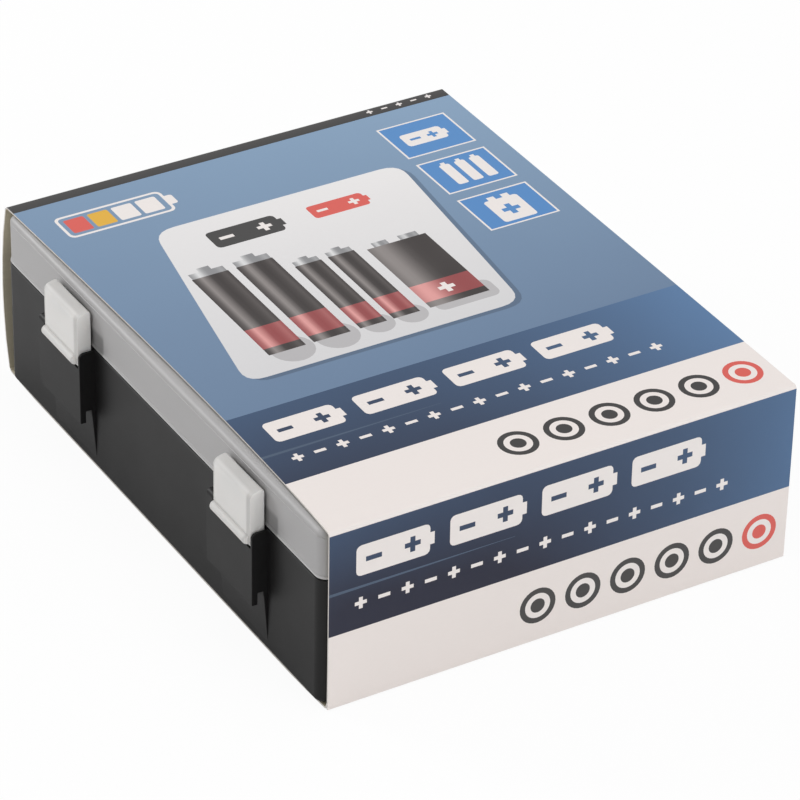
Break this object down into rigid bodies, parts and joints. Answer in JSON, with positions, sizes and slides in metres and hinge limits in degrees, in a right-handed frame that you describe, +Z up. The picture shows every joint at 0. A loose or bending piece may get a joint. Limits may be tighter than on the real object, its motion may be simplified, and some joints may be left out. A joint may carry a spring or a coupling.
{
  "type": "battery storage box",
  "caption": "Box for upright cells: black base with a pocketed tray, hinged frosted lid, two front latches and a card sleeve that slides off.",
  "frame": {"origin": "centre of the sleeve's underside", "axes": "+X along the latch side towards the plain printed end panel, +Y from the latch side to the hinge side, +Z up"},
  "size_m": [0.186, 0.1585, 0.056],
  "materials": {
    "base_plastic": "satin black moulding",
    "tray_plastic": "matt black moulding",
    "lid_plastic": "frosted, see-through in part",
    "latch_plastic": "frosted off-white",
    "pin_steel": "plain wire",
    "printed_card": "printed and lightly coated card"
  },
  "bodies": {
    "box": {"base_shell": "base_plastic", "tray_frame": "tray_plastic", "tray_end_rib": "tray_plastic", "tray_long_rib_1": "tray_plastic", "tray_long_rib_2": "tray_plastic", "tray_long_rib_3": "tray_plastic", "tray_long_rib_4": "tray_plastic", "tray_long_rib_5": "tray_plastic", "tray_long_rib_6": "tray_plastic", "tray_long_rib_7": "tray_plastic", "tray_cross_rib_1": "tray_plastic", "tray_cross_rib_2": "tray_plastic", "tray_cross_rib_3": "tray_plastic", "hinge_pin_left": "pin_steel", "hinge_pin_right": "pin_steel"},
    "lid": {"lid": "lid_plastic", "latch_pin_left": "pin_steel", "latch_pin_right": "pin_steel"},
    "latch_left": {"latch_left": "latch_plastic"},
    "latch_right": {"latch_right": "latch_plastic"},
    "sleeve": {"card_sleeve": "printed_card"}
  },
  "joints": [
    {"name": "sleeve_slide", "type": "slide", "parent": "box", "child": "sleeve", "axis": [0, 1, 0], "range_m": [0, 0.17]},
    {"name": "lid_hinge", "type": "hinge", "parent": "box", "child": "lid", "pos_m": [0.0005, 0.0764, 0.04035], "axis": [-1, 0, 0], "range_deg": [0, 105], "deforming": ["card_sleeve"]},
    {"name": "latch_left_hinge", "type": "hinge", "parent": "lid", "child": "latch_left", "pos_m": [-0.0466, -0.07605, 0.05], "axis": [-1, 0, 0], "range_deg": [0, 100]},
    {"name": "latch_right_hinge", "type": "hinge", "parent": "lid", "child": "latch_right", "pos_m": [0.0524, -0.07605, 0.05], "axis": [-1, 0, 0], "range_deg": [0, 100]}
  ]
}
